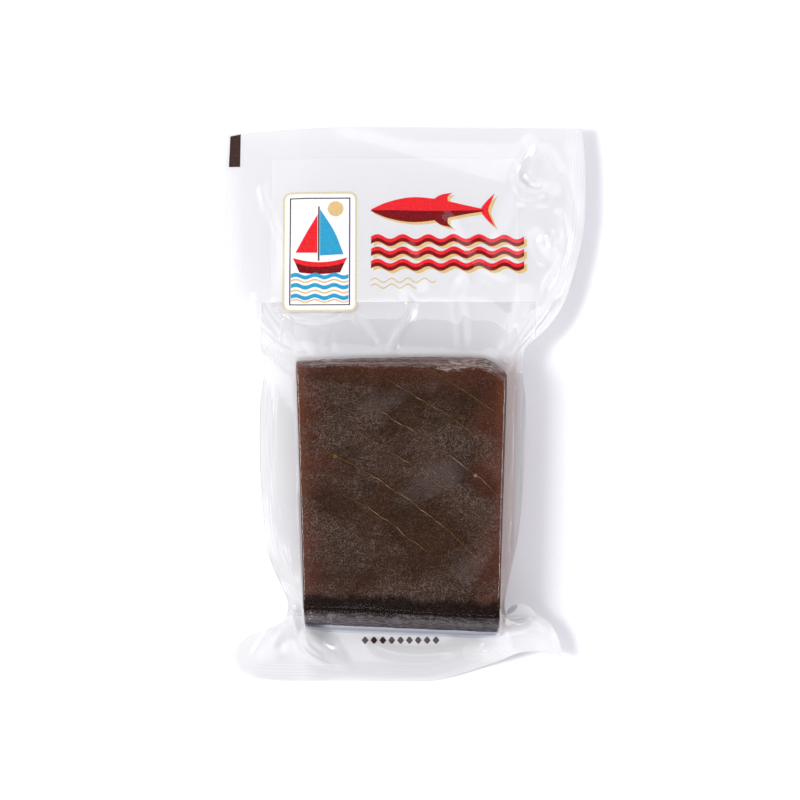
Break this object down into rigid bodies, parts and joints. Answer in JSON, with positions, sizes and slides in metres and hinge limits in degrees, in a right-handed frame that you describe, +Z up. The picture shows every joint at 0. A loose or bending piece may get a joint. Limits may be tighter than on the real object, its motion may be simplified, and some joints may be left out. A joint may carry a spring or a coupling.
{
  "type": "vacuum-packed mojama block",
  "caption": "Block of salted dried tuna loin sealed in a clear vacuum pouch, with a wide flat head flap and a short curled tail flap.",
  "frame": {"origin": "centre of the pack's bounding box in plan, on the surface that the block stands on", "axes": "+Y along the pack towards the wide head flap, +Z up out of the front film, +X to the right when the pack is read with its head away from the reader"},
  "size_m": [0.1327, 0.2033, 0.0312],
  "materials": {
    "dried_tuna": "dark brown dried flesh with fine grain, moist under the film",
    "clear_film": "clear glossy film with white ink over the head and tail"
  },
  "bodies": {
    "root": {"mojama_block": "dried_tuna", "vacuum_pouch": "clear_film"}
  },
  "joints": []
}
